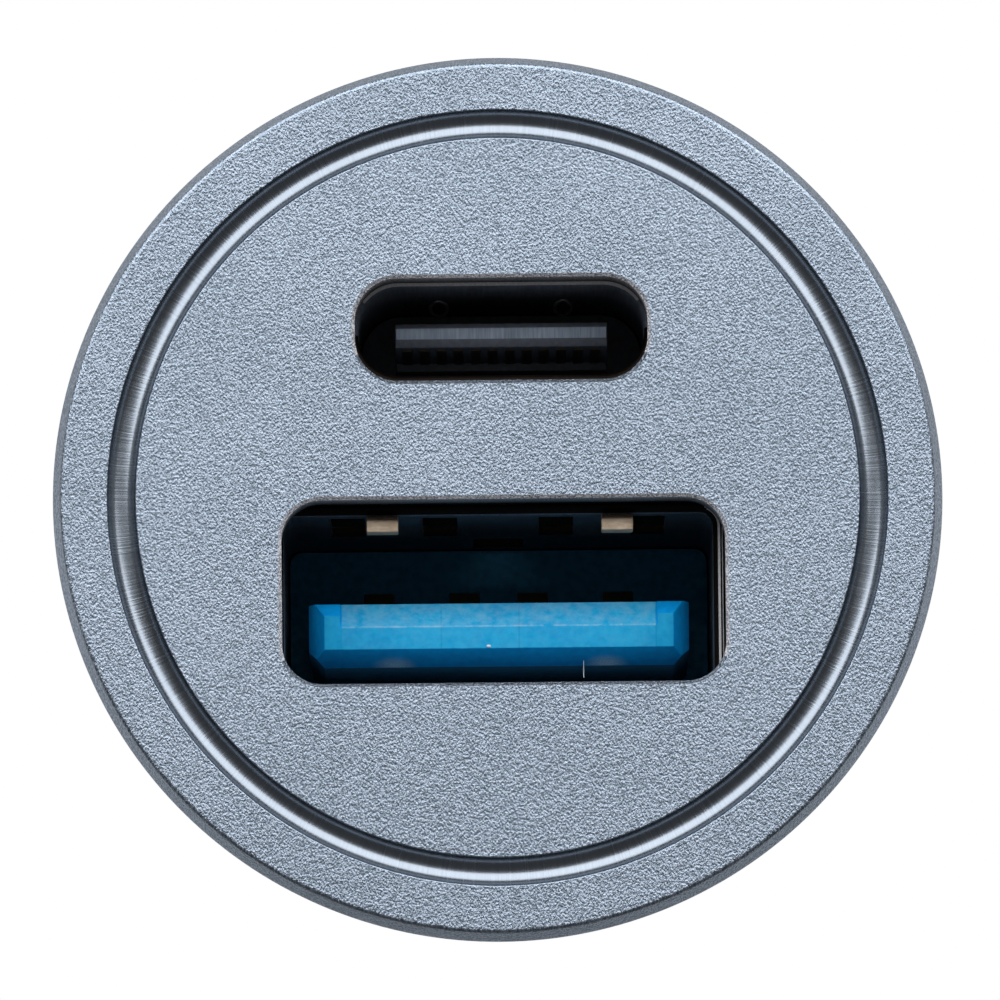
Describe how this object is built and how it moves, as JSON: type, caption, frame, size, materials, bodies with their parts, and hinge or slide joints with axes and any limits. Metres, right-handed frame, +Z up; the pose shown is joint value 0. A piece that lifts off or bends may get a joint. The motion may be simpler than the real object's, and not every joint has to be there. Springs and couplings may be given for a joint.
{
  "type": "car usb charger plug",
  "caption": "Short metal charger plug for a 12 V car socket: round grooved face with a USB-C and a USB-A port, sprung side clips on the barrel and a sprung tip in a black nose.",
  "frame": {"origin": "on the plug's axis, in the plane of the shoulder that stops it at the socket's rim", "axes": "+Y along the axis towards the tip, the face looks to -Y, +Z up with the USB-C port above"},
  "size_m": [0.0258, 0.0455, 0.0258],
  "materials": {
    "shell_aluminium": "bead-blasted, blue-grey anodised",
    "blue_plastic": "moulded, satin blue",
    "connector_steel": "nickel-plated sheet",
    "contact_gold": "gold flash",
    "dark_plastic": "moulded, dark grey",
    "nose_plastic": "moulded, fine texture, black",
    "spring_steel": "bright spring steel",
    "tip_plating": "turned, nickel plated",
    "board_green": "green solder mask",
    "chip_black": "moulded, black",
    "choke_grey": "pressed powder, grey",
    "tinned_lead": "tinned",
    "can_aluminium": "drawn can",
    "chip_ceramic": "fired, tan"
  },
  "bodies": {
    "charger": {"metal_shell": "shell_aluminium", "usb_a_tongue": "blue_plastic", "usb_a_shell": "connector_steel", "usb_c_shell": "connector_steel", "usb_a_contacts": "contact_gold", "usb_c_contacts": "contact_gold", "usb_c_tongue": "dark_plastic", "nose_cap": "nose_plastic", "tip_terminal": "tip_plating", "port_board": "board_green", "power_board": "board_green", "converter_chip": "chip_black", "port_chip": "chip_black", "power_transistors": "chip_black", "power_choke": "choke_grey", "converter_leads": "tinned_lead", "choke_terminals": "tinned_lead", "input_capacitor": "can_aluminium", "output_capacitor": "can_aluminium", "chip_capacitors": "chip_ceramic", "chip_resistors": "chip_ceramic", "input_fuse": "chip_ceramic"},
    "tip": {"tip_contact": "tip_plating", "tip_spring": "spring_steel"},
    "right_clip": {"ground_clip_right": "spring_steel"},
    "left_clip": {"ground_clip_left": "spring_steel"}
  },
  "joints": [
    {"name": "tip_slide", "type": "slide", "parent": "charger", "child": "tip", "axis": [0, -1, 0], "range_m": [0, 0.003], "stiffness_N_per_m": 1500, "springref_m": -0.0015, "deforming": ["tip_spring"]},
    {"name": "right_clip_flex", "type": "hinge", "parent": "charger", "child": "right_clip", "pos_m": [0.00852, 0.0224, 0], "axis": [0, 0, -1], "range_deg": [0, 10], "stiffness_Nm_per_rad": 0.3},
    {"name": "left_clip_flex", "type": "hinge", "parent": "charger", "child": "left_clip", "pos_m": [-0.00852, 0.0224, 0], "axis": [0, 0, 1], "range_deg": [0, 10], "stiffness_Nm_per_rad": 0.3}
  ]
}
